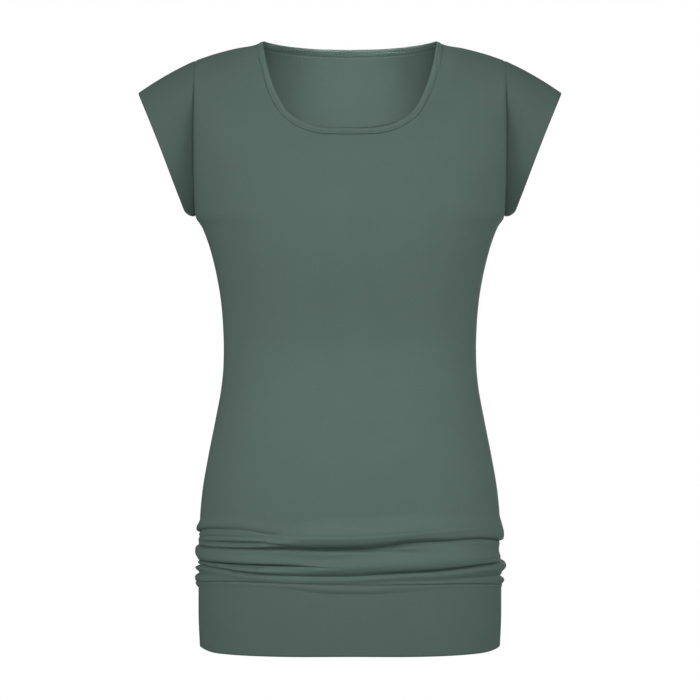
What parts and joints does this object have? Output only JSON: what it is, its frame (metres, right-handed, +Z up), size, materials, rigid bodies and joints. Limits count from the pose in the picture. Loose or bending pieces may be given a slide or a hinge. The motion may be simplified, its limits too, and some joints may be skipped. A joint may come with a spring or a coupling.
{
  "type": "yoga top",
  "caption": "Fitted jersey yoga top with cap sleeves, a scooped neck with a narrow binding, gathered folds above a deep hem band, in its worn hollow form.",
  "frame": {"origin": "between the shoulders, at the height of the tops of the shoulder seams, where the wearer holds the top up", "axes": "+X across the shoulders to the right of the front view, -Y the front, +Z up"},
  "size_m": [0.4644, 0.2273, 0.6656],
  "materials": {
    "jersey": "matt fine jersey, grey green",
    "band_jersey": "matt fine jersey, doubled",
    "binding_jersey": "matt fine jersey, folded"
  },
  "bodies": {
    "root": {"front": "jersey", "back": "jersey", "sleeve_left": "jersey", "sleeve_right": "jersey", "neck_binding": "binding_jersey", "hem_band_front": "band_jersey", "hem_band_back": "band_jersey"}
  },
  "joints": []
}
